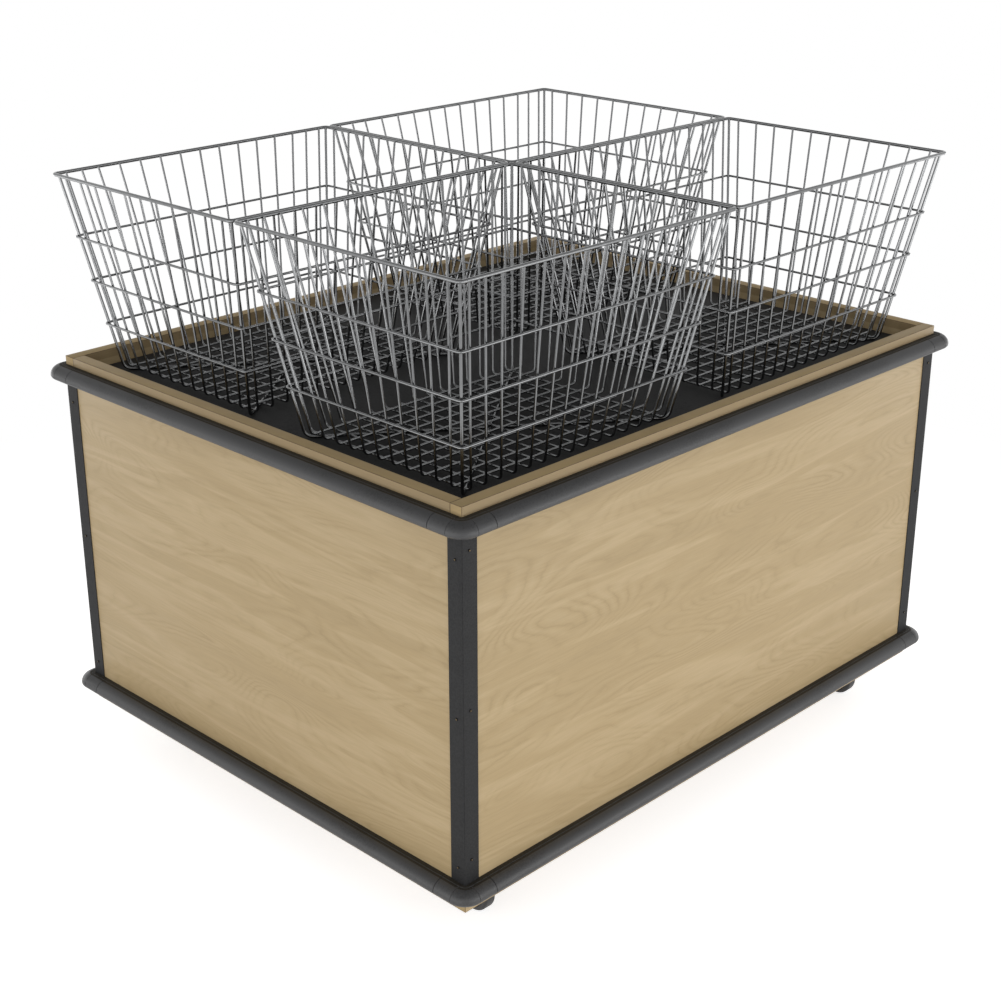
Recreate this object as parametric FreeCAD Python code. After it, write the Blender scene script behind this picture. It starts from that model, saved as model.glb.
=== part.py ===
import FreeCAD, Part
import math
import os

# Retail dump bin: a wheeled wood cabinet with black bumpers and four lift-out wire baskets.
# Millimetres. Origin on the floor under the middle of the cabinet.
# +X runs along the long front face, -Y faces the front, +Z is up.

# ---- Cabinet -------------------------------------------------------------------------------
CABINET_LENGTH = 1200.0
CABINET_DEPTH = 972.0
PANEL_HEIGHT = 662.0
PANEL_THICKNESS = 23.0
BASE_THICKNESS = 22.0
DECK_THICKNESS = 16.0
DECK_DROP = 27.0
DECK_CLEARANCE = 1.0
CLEAT_WIDTH = 20.0
CLEAT_HEIGHT = 40.0
BEARER_WIDTH = 40.0
BEARER_HEIGHT = 70.0

# ---- Bumper rails and their corner fittings ------------------------------------------------
BUMPER_HEIGHT = 27.0
BUMPER_REACH = 29.0
BUMPER_LEDGE = 9.0
NOSE_SHOULDER = 17.0
NOSE_FACETS = 6
FITTING_STUB = 40.0
FITTING_TURN_INSET = 3.5
FITTING_TURN_FACETS = 4
TOP_RAIL_DROP = 15.0
BOTTOM_RAIL_LIFT = 23.0

# ---- Corner angles and their screws --------------------------------------------------------
ANGLE_LEG = 28.0
ANGLE_THICKNESS = 1.5
ANGLE_SCREW_INSET = 12.5
ANGLE_SCREW_END = 26.0
ANGLE_SCREW_STAGGER = 14.0
ANGLE_SCREWS_PER_LEG = 3
ANGLE_SCREW_DIAMETER = 3.0
ANGLE_SCREW_LENGTH = 16.0
ANGLE_SCREW_HEAD = 5.2
ANGLE_SCREW_HEAD_HEIGHT = 1.6
ANGLE_SCREW_CROWN = 3.0
SCREW_HOLE_CLEARANCE = 0.3
SCREW_SIDES = 6

# ---- Wire baskets --------------------------------------------------------------------------
BASKET_HEIGHT = 343.0
BASKET_GAP = 2.0
BASKET_RIM_INSET = 3.0
BASKET_REST_GAP = 0.3
BASKET_DRAFT = math.radians(9.8)
RIM_WIRE = 6.0
RING_WIRE = 4.0
GRID_WIRE = 4.0
CORNER_WIRE = 5.0
RING_COUNT = 3
LOWEST_RING = 84.5
RING_PITCH = 75.5
CROSS_WIRES = 14
LONG_WIRES = 11
END_SPACE = 0.65
HOOP_CORNER_RADIUS = 8.0
CORNER_BEND_RADIUS = 14.0
WELD_GAP = 0.1
LAYER_GAP = 0.35
WIRE_SIDES = 6

# ---- Casters -------------------------------------------------------------------------------
CASTER_HEIGHT = 76.0
CASTER_INSET = 100.0
CASTER_TRAIL = 24.0
WHEEL_DIAMETER = 63.0
WHEEL_WIDTH = 22.0
WHEEL_FACETS = 20
TREAD_CHAMFER = 3.0
WHEEL_SIDE_GAP = 0.8
AXLE_DIAMETER = 8.0
AXLE_NUT = 13.0
AXLE_NUT_HEIGHT = 5.0
AXLE_HOLE_CLEARANCE = 0.2
RUNNING_FIT = 0.05
PLATE_SIDE = 60.0
PLATE_THICKNESS = 2.5
PLATE_SCREW_PITCH = 46.0
RACE_SIZE = 44.0
RACE_FACETS = 12
RACE_HEIGHT = 4.5
SWIVEL_GAP = 0.3
FORK_CROWN_SIZE = 40.0
FORK_CROWN_FACETS = 8
FORK_CROWN_THICKNESS = 2.5
FORK_LEG_THICKNESS = 2.0
FORK_FOOT_RADIUS = 9.0
KINGPIN_DIAMETER = 10.0
KINGPIN_RECESS = 1.2
CASTER_SCREW_DIAMETER = 4.8
CASTER_SCREW_LENGTH = 18.0
CASTER_SCREW_HEAD = 8.0
CASTER_SCREW_HEAD_HEIGHT = 3.5

# ---- Worked out from the sizes above -------------------------------------------------------
HALF_LENGTH = CABINET_LENGTH / 2
HALF_DEPTH = CABINET_DEPTH / 2
INNER_LENGTH = CABINET_LENGTH - 2 * PANEL_THICKNESS
INNER_DEPTH = CABINET_DEPTH - 2 * PANEL_THICKNESS
PANEL_BOTTOM = CASTER_HEIGHT
PANEL_TOP = PANEL_BOTTOM + PANEL_HEIGHT
DECK_TOP = PANEL_TOP - DECK_DROP
DECK_BOTTOM = DECK_TOP - DECK_THICKNESS
TOP_RAIL_LEDGE = PANEL_TOP - TOP_RAIL_DROP
BOTTOM_RAIL_LEDGE = PANEL_BOTTOM + BOTTOM_RAIL_LIFT + BUMPER_HEIGHT
WHEEL_RADIUS = WHEEL_DIAMETER / 2
# Two baskets fill each way, with their rims just inside the cabinet's outer faces.
BASKET_LENGTH = HALF_LENGTH - BASKET_RIM_INSET - BASKET_GAP / 2
BASKET_WIDTH = HALF_DEPTH - BASKET_RIM_INSET - BASKET_GAP / 2

SIDES = {"left": -1, "right": 1}
ENDS = {"front": -1, "back": 1}
CORNERS = {
    f"{end}_{side}": (SIDES[side], ENDS[end]) for end in ENDS for side in SIDES
}


def vec(x, y, z):
    return FreeCAD.Vector(x, y, z)


def block(x_range, y_range, z_range):
    """A box between two values on each axis."""
    low = vec(x_range[0], y_range[0], z_range[0])
    size = [r[1] - r[0] for r in (x_range, y_range, z_range)]
    return Part.makeBox(size[0], size[1], size[2], low)


def fused(shapes):
    """One clean solid from shapes that touch or overlap."""
    whole = shapes[0].fuse(shapes[1:])
    return whole.removeSplitter()


def tapered_bar(sides, start, way, stations):
    """A straight bar with flat sides, by its size across flats at each distance along its way."""
    turn = FreeCAD.Rotation(vec(0, 0, 1), way)
    rings = []
    for along, across_flats in stations:
        radius = across_flats / 2 / math.cos(math.pi / sides)
        centre = start.add(way * along)
        ring = []
        for k in range(sides):
            angle = 2 * math.pi * (k + 0.5) / sides
            corner = vec(radius * math.cos(angle), radius * math.sin(angle), 0)
            ring.append(centre.add(turn.multVec(corner)))
        rings.append(ring)
    return skinned(rings)


def prism(sides, across_flats, start, end):
    """A bar of one size with flat sides, from one point to another."""
    axis = end.sub(start)
    way = axis * (1 / axis.Length)
    return tapered_bar(sides, start, way, [(0, across_flats), (axis.Length, across_flats)])


def skinned(rings, closed=False):
    """A solid with flat faces between rings of points, closed on itself or capped at its ends."""
    sides = len(rings[0])
    faces = []
    if closed:
        rings = rings + rings[:1]
    else:
        faces = [Part.Face(Part.makePolygon(cap + cap[:1])) for cap in (rings[0], rings[-1])]
    for start, end in zip(rings, rings[1:]):
        for k in range(sides):
            j = (k + 1) % sides
            quad = [start[k], start[j], end[j], end[k], start[k]]
            faces.append(Part.Face(Part.makePolygon(quad)))
    solid = Part.Solid(Part.Shell(faces))
    if solid.Volume < 0:
        solid.reverse()
    return solid


def save(name, solids):
    """Writes one node: a single solid, or a group of separate ones."""
    shape = solids[0] if len(solids) == 1 else Part.makeCompound(solids)
    shape.exportStep(f"parts/{name}.step")


# ---- Cabinet boards ------------------------------------------------------------------------
def cabinet_panels():
    height = (PANEL_BOTTOM, PANEL_TOP)
    for end, way in ENDS.items():
        faces = sorted((way * HALF_DEPTH, way * (HALF_DEPTH - PANEL_THICKNESS)))
        save(f"{end}_panel", [block((-HALF_LENGTH, HALF_LENGTH), faces, height)])
    for side, way in SIDES.items():
        faces = sorted((way * HALF_LENGTH, way * (HALF_LENGTH - PANEL_THICKNESS)))
        depth = (-INNER_DEPTH / 2, INNER_DEPTH / 2)
        save(f"{side}_panel", [block(faces, depth, height)])


def inner_board(clearance, bottom, thickness):
    half_x = INNER_LENGTH / 2 - clearance
    half_y = INNER_DEPTH / 2 - clearance
    return block((-half_x, half_x), (-half_y, half_y), (bottom, bottom + thickness))


def cabinet_boards():
    save("base_board", [inner_board(0, PANEL_BOTTOM, BASE_THICKNESS)])
    save("deck_board", [inner_board(DECK_CLEARANCE, DECK_BOTTOM, DECK_THICKNESS)])


def deck_supports():
    """Cleats on all four walls carry the deck, with one bearer across its middle."""
    height = (DECK_BOTTOM - CLEAT_HEIGHT, DECK_BOTTOM)
    half_x = INNER_LENGTH / 2
    half_y = INNER_DEPTH / 2
    between = half_y - CLEAT_WIDTH
    cleats = []
    for way in (-1, 1):
        wall = sorted((way * half_y, way * between))
        cleats.append(block((-half_x, half_x), wall, height))
        wall = sorted((way * half_x, way * (half_x - CLEAT_WIDTH)))
        cleats.append(block(wall, (-between, between), height))
    save("deck_cleats", cleats)
    half_width = BEARER_WIDTH / 2
    drop = (DECK_BOTTOM - BEARER_HEIGHT, DECK_BOTTOM)
    bearer = block((-half_width, half_width), (-between, between), drop)
    save("deck_bearer", [bearer])


# ---- Bumpers -------------------------------------------------------------------------------
def bumper_section(at, outward, back=0.0):
    """The corners of a bumper's section: a flat ledge, then a rounded nose.

    The ledge is at the height of at, and distances out are measured from at along outward.
    back is where the section starts. The nose is a quarter ellipse down to its shoulder, where
    it reaches out furthest, and another from there to the underside.
    """
    nose_reach = BUMPER_REACH - BUMPER_LEDGE
    belly = BUMPER_HEIGHT - NOSE_SHOULDER
    outline = [(back, 0)]
    for k in range(NOSE_FACETS + 1):
        turn = math.pi * k / NOSE_FACETS
        rise = NOSE_SHOULDER if turn < math.pi / 2 else belly
        out = BUMPER_LEDGE + nose_reach * math.sin(turn)
        outline.append((out, rise * math.cos(turn) - NOSE_SHOULDER))
    outline.append((back, -BUMPER_HEIGHT))
    return [at.add(outward * out).add(vec(0, 0, up)) for out, up in outline]


def placed(shape, position, turn):
    """A copy of a shape, turned about the vertical and moved to a position."""
    copy = shape.copy()
    copy.rotate(vec(0, 0, 0), vec(0, 0, 1), turn)
    copy.translate(position)
    return copy


def bumper_fitting(ledge):
    """The moulded fitting at the front left corner: a stub, a quarter turn and a stub.

    The turn is about a point just inside the corner, and its inner side stays square so that
    it lies against both panels.
    """
    corner = vec(-HALF_LENGTH, -HALF_DEPTH, ledge)
    inset = FITTING_TURN_INSET
    turn_centre = corner.add(vec(inset, inset, 0))
    left = vec(-1, 0, 0)
    front = vec(0, -1, 0)
    rings = [bumper_section(corner.add(vec(0, FITTING_STUB, 0)), left)]
    for k in range(FITTING_TURN_FACETS + 1):
        turn = math.pi / 2 * k / FITTING_TURN_FACETS
        outward = left * math.cos(turn) + front * math.sin(turn)
        to_panel = inset / max(math.cos(turn), math.sin(turn))
        at = turn_centre.add(outward * inset)
        rings.append(bumper_section(at, outward, to_panel - inset))
    rings.append(bumper_section(corner.add(vec(FITTING_STUB, 0, 0)), front))
    return skinned(rings)


def mirrored(shape, way_x, way_y):
    """A front left shape at another corner of the cabinet."""
    if way_x > 0:
        shape = shape.mirror(vec(0, 0, 0), vec(1, 0, 0))
    if way_y > 0:
        shape = shape.mirror(vec(0, 0, 0), vec(0, 1, 0))
    return shape


def bumpers():
    half_x = HALF_LENGTH - FITTING_STUB
    half_y = HALF_DEPTH - FITTING_STUB
    for level, ledge in (("top", TOP_RAIL_LEDGE), ("bottom", BOTTOM_RAIL_LEDGE)):
        front_ends = [vec(x, -HALF_DEPTH, ledge) for x in (-half_x, half_x)]
        front = skinned([bumper_section(at, vec(0, -1, 0)) for at in front_ends])
        left_ends = [vec(-HALF_LENGTH, y, ledge) for y in (-half_y, half_y)]
        left = skinned([bumper_section(at, vec(-1, 0, 0)) for at in left_ends])
        for end, way in ENDS.items():
            save(f"bumper_{level}_{end}", [mirrored(front, -1, way)])
        for side, way in SIDES.items():
            save(f"bumper_{level}_{side}", [mirrored(left, way, -1)])
        fitting = bumper_fitting(ledge)
        save(f"bumper_{level}_corners", [mirrored(fitting, *ways) for ways in CORNERS.values()])


# ---- Corner angles -------------------------------------------------------------------------
def angle_screw_places():
    """Seat and direction of each screw in the front left angle, front leg then left leg."""
    bottom = BOTTOM_RAIL_LEDGE + ANGLE_SCREW_END
    top = TOP_RAIL_LEDGE - BUMPER_HEIGHT - ANGLE_SCREW_END - ANGLE_SCREW_STAGGER
    pitch = (top - bottom) / (ANGLE_SCREWS_PER_LEG - 1)
    front_seat = -HALF_DEPTH - ANGLE_THICKNESS
    left_seat = -HALF_LENGTH - ANGLE_THICKNESS
    places = []
    for k in range(ANGLE_SCREWS_PER_LEG):
        height = bottom + k * pitch
        along = -HALF_LENGTH + ANGLE_SCREW_INSET
        seat = vec(along, front_seat, height + ANGLE_SCREW_STAGGER)
        places.append((seat, vec(0, 1, 0)))
        along = -HALF_DEPTH + ANGLE_SCREW_INSET
        places.append((vec(left_seat, along, height), vec(1, 0, 0)))
    return places


def round_head_screw(seat, into):
    """A wood screw whose head stands on its seat and rounds in to a small crown."""
    head = [(-ANGLE_SCREW_HEAD_HEIGHT, ANGLE_SCREW_CROWN), (0, ANGLE_SCREW_HEAD)]
    shank = [(0, ANGLE_SCREW_DIAMETER), (ANGLE_SCREW_LENGTH, ANGLE_SCREW_DIAMETER)]
    return tapered_bar(SCREW_SIDES, seat, into, head + shank)


def corner_angles():
    bottom = BOTTOM_RAIL_LEDGE
    top = TOP_RAIL_LEDGE - BUMPER_HEIGHT
    outer_x = -HALF_LENGTH - ANGLE_THICKNESS
    outer_y = -HALF_DEPTH - ANGLE_THICKNESS
    inner_x = -HALF_LENGTH
    inner_y = -HALF_DEPTH
    leg_x = (outer_x, inner_x + ANGLE_LEG)
    leg_y = (outer_y, inner_y + ANGLE_LEG)
    angle = fused(
        [
            block(leg_x, (outer_y, inner_y), (bottom, top)),
            block((outer_x, inner_x), leg_y, (bottom, top)),
        ]
    )
    hole_size = ANGLE_SCREW_DIAMETER + SCREW_HOLE_CLEARANCE
    screws = []
    for seat, into in angle_screw_places():
        angle = angle.cut(prism(SCREW_SIDES, hole_size, seat, seat.add(into * ANGLE_THICKNESS)))
        screws.append(round_head_screw(seat, into))
    all_screws = []
    for name, (way_x, way_y) in CORNERS.items():
        save(f"corner_angle_{name}", [mirrored(angle, way_x, way_y)])
        all_screws += [mirrored(s, way_x, way_y) for s in screws]
    save("angle_screws", all_screws)


# ---- Wire baskets --------------------------------------------------------------------------
def rod(points, diameter, flat_toward, closed=False):
    """A wire with flat sides, mitred at every point of its path.

    diameter is the width across two flat sides, one of which faces flat_toward at the start.
    """
    count = len(points)
    spans = count if closed else count - 1
    ways = [points[(i + 1) % count].sub(points[i]).normalize() for i in range(spans)]
    mitres = [ways[i - 1].add(ways[i % spans]).normalize() for i in range(count)]
    if not closed:
        mitres[0] = ways[0]
        mitres[-1] = ways[-1]
    way = ways[0]
    side = flat_toward.sub(way * flat_toward.dot(way)).normalize()
    other = way.cross(side)
    radius = diameter / 2 / math.cos(math.pi / WIRE_SIDES)
    ring = []
    for k in range(WIRE_SIDES):
        angle = 2 * math.pi * (k + 0.5) / WIRE_SIDES
        offset = side * (radius * math.cos(angle)) + other * (radius * math.sin(angle))
        ring.append(points[0].add(offset))

    def slid(corner, along, at, mitre):
        """A corner moved along the wire to the mitre plane through a point."""
        reach = at.sub(corner).dot(mitre) / along.dot(mitre)
        return corner.add(along * reach)

    rings = [[slid(c, ways[0], points[0], mitres[0]) for c in ring]]
    for i in range(1, count):
        rings.append([slid(c, ways[i - 1], points[i], mitres[i]) for c in rings[-1]])
    return skinned(rings, closed)


def bent(points, radius):
    """A path whose inner points become two, so that the flat between them touches the bend."""
    path = [points[0]]
    for before, at, after in zip(points, points[1:], points[2:]):
        way_in = at.sub(before).normalize()
        way_out = after.sub(at).normalize()
        turn = way_in.getAngle(way_out)
        back_off = radius * (math.tan(turn / 2) - math.tan(turn / 4))
        path.append(at.sub(way_in * back_off))
        path.append(at.add(way_out * back_off))
    path.append(points[-1])
    return path


TAN_DRAFT = math.tan(BASKET_DRAFT)
COS_DRAFT = math.cos(BASKET_DRAFT)
RIM_LEVEL = BASKET_HEIGHT - RIM_WIRE / 2


def wall_half(outer_size, height):
    """Half of a basket's size at a height, at the face where its hoops touch its wires."""
    at_rim = outer_size / 2 - RIM_WIRE / 2 - RIM_WIRE / 2 / COS_DRAFT
    return at_rim - (RIM_LEVEL - height) * TAN_DRAFT


def hoop(diameter, height):
    """A closed wire round the outside of the basket."""
    stand_off = diameter / 2 / COS_DRAFT
    x = wall_half(BASKET_LENGTH, height) + stand_off
    y = wall_half(BASKET_WIDTH, height) + stand_off
    cut = HOOP_CORNER_RADIUS * (2 - math.sqrt(2))
    plan = [
        (-x + cut, -y),
        (x - cut, -y),
        (x, -y + cut),
        (x, y - cut),
        (x - cut, y),
        (-x + cut, y),
        (-x, y - cut),
        (-x, -y + cut),
    ]
    path = [vec(px, py, height) for px, py in plan]
    return rod(path, diameter, vec(0, -COS_DRAFT, -math.sin(BASKET_DRAFT)), closed=True)


def basket_hoops():
    rings = [hoop(RING_WIRE, LOWEST_RING + k * RING_PITCH) for k in range(RING_COUNT)]
    return [hoop(RIM_WIRE, RIM_LEVEL)] + rings


def u_wires(count, spread_size, reach_size, level):
    """U-shaped wires side by side, running along X.

    They spread along Y over spread_size, and each climbs both walls of reach_size.
    """
    inset = GRID_WIRE / 2 / COS_DRAFT
    wires = []
    for k in range(count):
        share = (k - (count - 1) / 2) / (count - 1 + 2 * END_SPACE)
        bottom_y = 2 * wall_half(spread_size, level) * share
        top_y = 2 * wall_half(spread_size, RIM_LEVEL) * share
        bottom_x = wall_half(reach_size, level) - inset
        top_x = wall_half(reach_size, RIM_LEVEL) - inset
        path = [
            vec(-top_x, top_y, RIM_LEVEL),
            vec(-bottom_x, bottom_y, level),
            vec(bottom_x, bottom_y, level),
            vec(top_x, top_y, RIM_LEVEL),
        ]
        out = vec(-COS_DRAFT, 0, -math.sin(BASKET_DRAFT))
        wires.append(rod(path, GRID_WIRE, out))
    return wires


RUNNER_LEVEL = BASKET_REST_GAP + CORNER_WIRE / 2
CROSS_LEVEL = RUNNER_LEVEL + CORNER_WIRE / 2 + LAYER_GAP + GRID_WIRE / 2
LONG_LEVEL = CROSS_LEVEL + GRID_WIRE + LAYER_GAP


def long_wires():
    return u_wires(LONG_WIRES, BASKET_WIDTH, BASKET_LENGTH, LONG_LEVEL)


def cross_wires():
    wires = u_wires(CROSS_WIRES, BASKET_LENGTH, BASKET_WIDTH, CROSS_LEVEL)
    return [placed(w, vec(0, 0, 0), 90) for w in wires]


def corner_wires():
    """Thicker wires down the corners, whose feet run in under the floor and meet at its middle."""
    diagonal_draft = math.atan(math.sqrt(2) * TAN_DRAFT)
    cut = HOOP_CORNER_RADIUS * (2 - math.sqrt(2))
    hoop_side = RING_WIRE / 2 * (1 / COS_DRAFT - 1 / math.sqrt(2) / COS_DRAFT)
    wire_side = (CORNER_WIRE / 2 + WELD_GAP) / math.cos(diagonal_draft) / math.sqrt(2)
    inset = cut / 2 - hoop_side + wire_side
    foot_x, top_x = [wall_half(BASKET_LENGTH, z) - inset for z in (RUNNER_LEVEL, RIM_LEVEL)]
    foot_y, top_y = [wall_half(BASKET_WIDTH, z) - inset for z in (RUNNER_LEVEL, RIM_LEVEL)]
    half_width = CORNER_WIRE / 2 / math.cos(math.pi / WIRE_SIDES)
    stop = half_width * foot_x / foot_y + WELD_GAP
    middle = vec(0, 0, RUNNER_LEVEL)
    wires = []
    for way_x, way_y in CORNERS.values():
        top = vec(way_x * top_x, way_y * top_y, RIM_LEVEL)
        foot = vec(way_x * foot_x, way_y * foot_y, RUNNER_LEVEL)
        outward = foot.sub(middle).normalize()
        path = bent([top, foot, middle.add(outward * stop)], CORNER_BEND_RADIUS)
        wires.append(rod(path, CORNER_WIRE, vec(way_x, way_y, 0)))
    return wires


def baskets():
    sets = {
        "hoops": basket_hoops(),
        "long_wires": long_wires(),
        "cross_wires": cross_wires(),
        "corner_wires": corner_wires(),
    }
    for name, (way_x, way_y) in CORNERS.items():
        centre_x = way_x * (BASKET_LENGTH + BASKET_GAP) / 2
        centre_y = way_y * (BASKET_WIDTH + BASKET_GAP) / 2
        at = vec(centre_x, centre_y, DECK_TOP)
        for kind, wires in sets.items():
            save(f"basket_{name}_{kind}", [placed(w, at, 0) for w in wires])


# ---- Casters -------------------------------------------------------------------------------
# Each caster is made about its swivel axis and the floor, with its wheel trailing to -Y.
PLATE_BOTTOM = CASTER_HEIGHT - PLATE_THICKNESS
RACE_BOTTOM = PLATE_BOTTOM - RACE_HEIGHT
CROWN_TOP = RACE_BOTTOM - SWIVEL_GAP
CROWN_BOTTOM = CROWN_TOP - FORK_CROWN_THICKNESS
KINGPIN_TOP = CASTER_HEIGHT - KINGPIN_RECESS
AXLE_AT = vec(0, -CASTER_TRAIL, WHEEL_RADIUS)
LEG_INNER = WHEEL_WIDTH / 2 + WHEEL_SIDE_GAP
LEG_OUTER = LEG_INNER + FORK_LEG_THICKNESS


def disc(diameter, bottom, top):
    return Part.makeCylinder(diameter / 2, top - bottom, vec(0, 0, bottom))


def along_axle(diameter, start, end):
    """A round bar on the axle's line, between two values of X."""
    at = vec(start, AXLE_AT.y, AXLE_AT.z)
    return Part.makeCylinder(diameter / 2, end - start, at, vec(1, 0, 0))


def plate_screw_places():
    half = PLATE_SCREW_PITCH / 2
    return [vec(x, y, PLATE_BOTTOM) for x in (-half, half) for y in (-half, half)]


def caster_plate():
    half = PLATE_SIDE / 2
    plate = block((-half, half), (-half, half), (PLATE_BOTTOM, CASTER_HEIGHT))
    race = prism(RACE_FACETS, RACE_SIZE, vec(0, 0, RACE_BOTTOM), vec(0, 0, PLATE_BOTTOM))
    plate = fused([plate, race])
    socket = KINGPIN_DIAMETER + 2 * RUNNING_FIT
    plate = plate.cut(disc(socket, RACE_BOTTOM - SWIVEL_GAP, KINGPIN_TOP + SWIVEL_GAP))
    hole_size = CASTER_SCREW_DIAMETER + SCREW_HOLE_CLEARANCE
    for place in plate_screw_places():
        start = place.sub(vec(0, 0, PLATE_THICKNESS))
        hole = prism(SCREW_SIDES, hole_size, start, place.add(vec(0, 0, 2 * PLATE_THICKNESS)))
        plate = plate.cut(hole)
    return plate


def caster_screws():
    """Hexagon-head screws, from under the plate up into the base board."""
    up = vec(0, 0, 1)
    screws = []
    for place in plate_screw_places():
        head_bottom = place.sub(up * CASTER_SCREW_HEAD_HEIGHT)
        head = prism(SCREW_SIDES, CASTER_SCREW_HEAD, head_bottom, place)
        shank_end = place.add(up * CASTER_SCREW_LENGTH)
        shank = prism(SCREW_SIDES, CASTER_SCREW_DIAMETER, place, shank_end)
        screws.append(fused([head, shank]))
    return screws


def caster_fork():
    """A crown and kingpin with two legs that taper down to the axle."""
    crown = prism(FORK_CROWN_FACETS, FORK_CROWN_SIZE, vec(0, 0, CROWN_BOTTOM), vec(0, 0, CROWN_TOP))
    kingpin = disc(KINGPIN_DIAMETER, CROWN_TOP, KINGPIN_TOP)
    top_half = FORK_CROWN_SIZE / 2 * math.sqrt(2) - LEG_OUTER
    foot_half = FORK_FOOT_RADIUS * math.tan(math.pi / 8)
    outline = [
        (-top_half, CROWN_BOTTOM),
        (AXLE_AT.y - FORK_FOOT_RADIUS, AXLE_AT.z),
        (AXLE_AT.y - foot_half, AXLE_AT.z - FORK_FOOT_RADIUS),
        (AXLE_AT.y + foot_half, AXLE_AT.z - FORK_FOOT_RADIUS),
        (AXLE_AT.y + FORK_FOOT_RADIUS, AXLE_AT.z),
        (top_half, CROWN_BOTTOM),
    ]
    fork = [crown, kingpin]
    for start, end in ((-LEG_OUTER, -LEG_INNER), (LEG_INNER, LEG_OUTER)):
        fork.append(skinned([[vec(x, y, z) for y, z in outline] for x in (start, end)]))
    reach = vec(2 * LEG_OUTER, 0, 0)
    hole_size = AXLE_DIAMETER + AXLE_HOLE_CLEARANCE
    return fused(fork).cut(prism(6, hole_size, AXLE_AT.sub(reach), AXLE_AT.add(reach)))


def caster_wheel():
    """A moulded wheel of flat facets, with a chamfer on both sides of its tread."""
    half = WHEEL_WIDTH / 2
    inner = WHEEL_RADIUS - TREAD_CHAMFER
    shoulder = half - TREAD_CHAMFER
    stations = [
        (-half, inner),
        (-shoulder, WHEEL_RADIUS),
        (shoulder, WHEEL_RADIUS),
        (half, inner),
    ]
    turns = [2 * math.pi * k / WHEEL_FACETS for k in range(WHEEL_FACETS)]
    rings = [
        [AXLE_AT.add(vec(x, r * math.sin(t), -r * math.cos(t))) for t in turns]
        for x, r in stations
    ]
    bore = AXLE_DIAMETER + 2 * RUNNING_FIT
    return skinned(rings).cut(along_axle(bore, -WHEEL_WIDTH, WHEEL_WIDTH))


def caster_axle():
    """A bolt through the fork, with a hexagon head and a nut."""
    pieces = [along_axle(AXLE_DIAMETER, -LEG_OUTER, LEG_OUTER)]
    for way in (-1, 1):
        seat = AXLE_AT.add(vec(way * LEG_OUTER, 0, 0))
        pieces.append(prism(6, AXLE_NUT, seat, seat.add(vec(way * AXLE_NUT_HEIGHT, 0, 0))))
    return fused(pieces)


def casters():
    plate = caster_plate()
    screws = caster_screws()
    moving = {"fork": caster_fork(), "wheel": caster_wheel(), "axle": caster_axle()}
    plates = []
    all_screws = []
    for name, (way_x, way_y) in CORNERS.items():
        x = way_x * (HALF_LENGTH - CASTER_INSET)
        y = way_y * (HALF_DEPTH - CASTER_INSET)
        at = vec(x, y, 0)
        plates.append(placed(plate, at, 0))
        all_screws += [placed(s, at, 0) for s in screws]
        for kind, shape in moving.items():
            save(f"caster_{name}_{kind}", [placed(shape, at, 0)])
    save("caster_plates", plates)
    save("caster_screws", all_screws)


os.makedirs("parts", exist_ok=True)
cabinet_panels()
cabinet_boards()
deck_supports()
bumpers()
corner_angles()
baskets()
casters()
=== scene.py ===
import math

import bmesh
import bpy
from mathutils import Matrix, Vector


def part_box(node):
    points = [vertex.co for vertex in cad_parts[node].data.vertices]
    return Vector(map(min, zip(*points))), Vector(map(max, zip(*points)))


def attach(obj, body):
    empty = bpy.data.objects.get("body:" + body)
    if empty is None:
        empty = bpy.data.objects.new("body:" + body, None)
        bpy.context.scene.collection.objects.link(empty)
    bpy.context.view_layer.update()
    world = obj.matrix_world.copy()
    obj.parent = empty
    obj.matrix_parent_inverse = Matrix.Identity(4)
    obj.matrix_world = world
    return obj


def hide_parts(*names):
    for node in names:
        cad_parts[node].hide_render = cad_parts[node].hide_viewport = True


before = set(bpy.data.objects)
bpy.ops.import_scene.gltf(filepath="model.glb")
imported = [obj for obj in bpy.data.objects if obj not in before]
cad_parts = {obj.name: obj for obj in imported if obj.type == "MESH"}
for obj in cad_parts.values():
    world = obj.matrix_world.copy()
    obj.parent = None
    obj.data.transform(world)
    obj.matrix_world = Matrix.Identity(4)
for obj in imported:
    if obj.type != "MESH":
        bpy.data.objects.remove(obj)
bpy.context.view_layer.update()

bl_info = {
    "name": "Retail Dump Bin",
    "version": (1, 0, 0),
    "blender": (4, 5, 0),
    "location": "View3D > Sidebar > Dump Bin",
    "description": "Dresses the dump bin's frame with its laminate, bumpers, wire baskets and casters",
    "category": "Object",
}

CORNERS = {
    f"{end}_{side}": (way_x, way_y)
    for end, way_y in (("front", -1), ("back", 1))
    for side, way_x in (("left", -1), ("right", 1))
}
OUTWARD = {
    "front": Vector((0, -1, 0)),
    "back": Vector((0, 1, 0)),
    "left": Vector((-1, 0, 0)),
    "right": Vector((1, 0, 0)),
}
UP = Vector((0, 0, 1))


def mm(value):
    """Millimetres as metres."""
    return value / 1000


def paint(code):
    """An sRGB hex value as a linear colour with alpha."""
    shares = [int(code[i : i + 2], 16) / 255 for i in (0, 2, 4)]
    linear = [s / 12.92 if s <= 0.04045 else ((s + 0.055) / 1.055) ** 2.4 for s in shares]
    return (*linear, 1.0)


def length(name, description, default):
    """A length that the sidebar can change."""
    return bpy.props.FloatProperty(
        name=name, description=description, default=default, min=0, unit="LENGTH", precision=5
    )


def colour(name, description, code):
    """A colour that the sidebar can change, from its sRGB hex value."""
    return bpy.props.FloatVectorProperty(
        name=name, description=description, default=paint(code), size=4, min=0, max=1, subtype="COLOR"
    )


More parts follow.
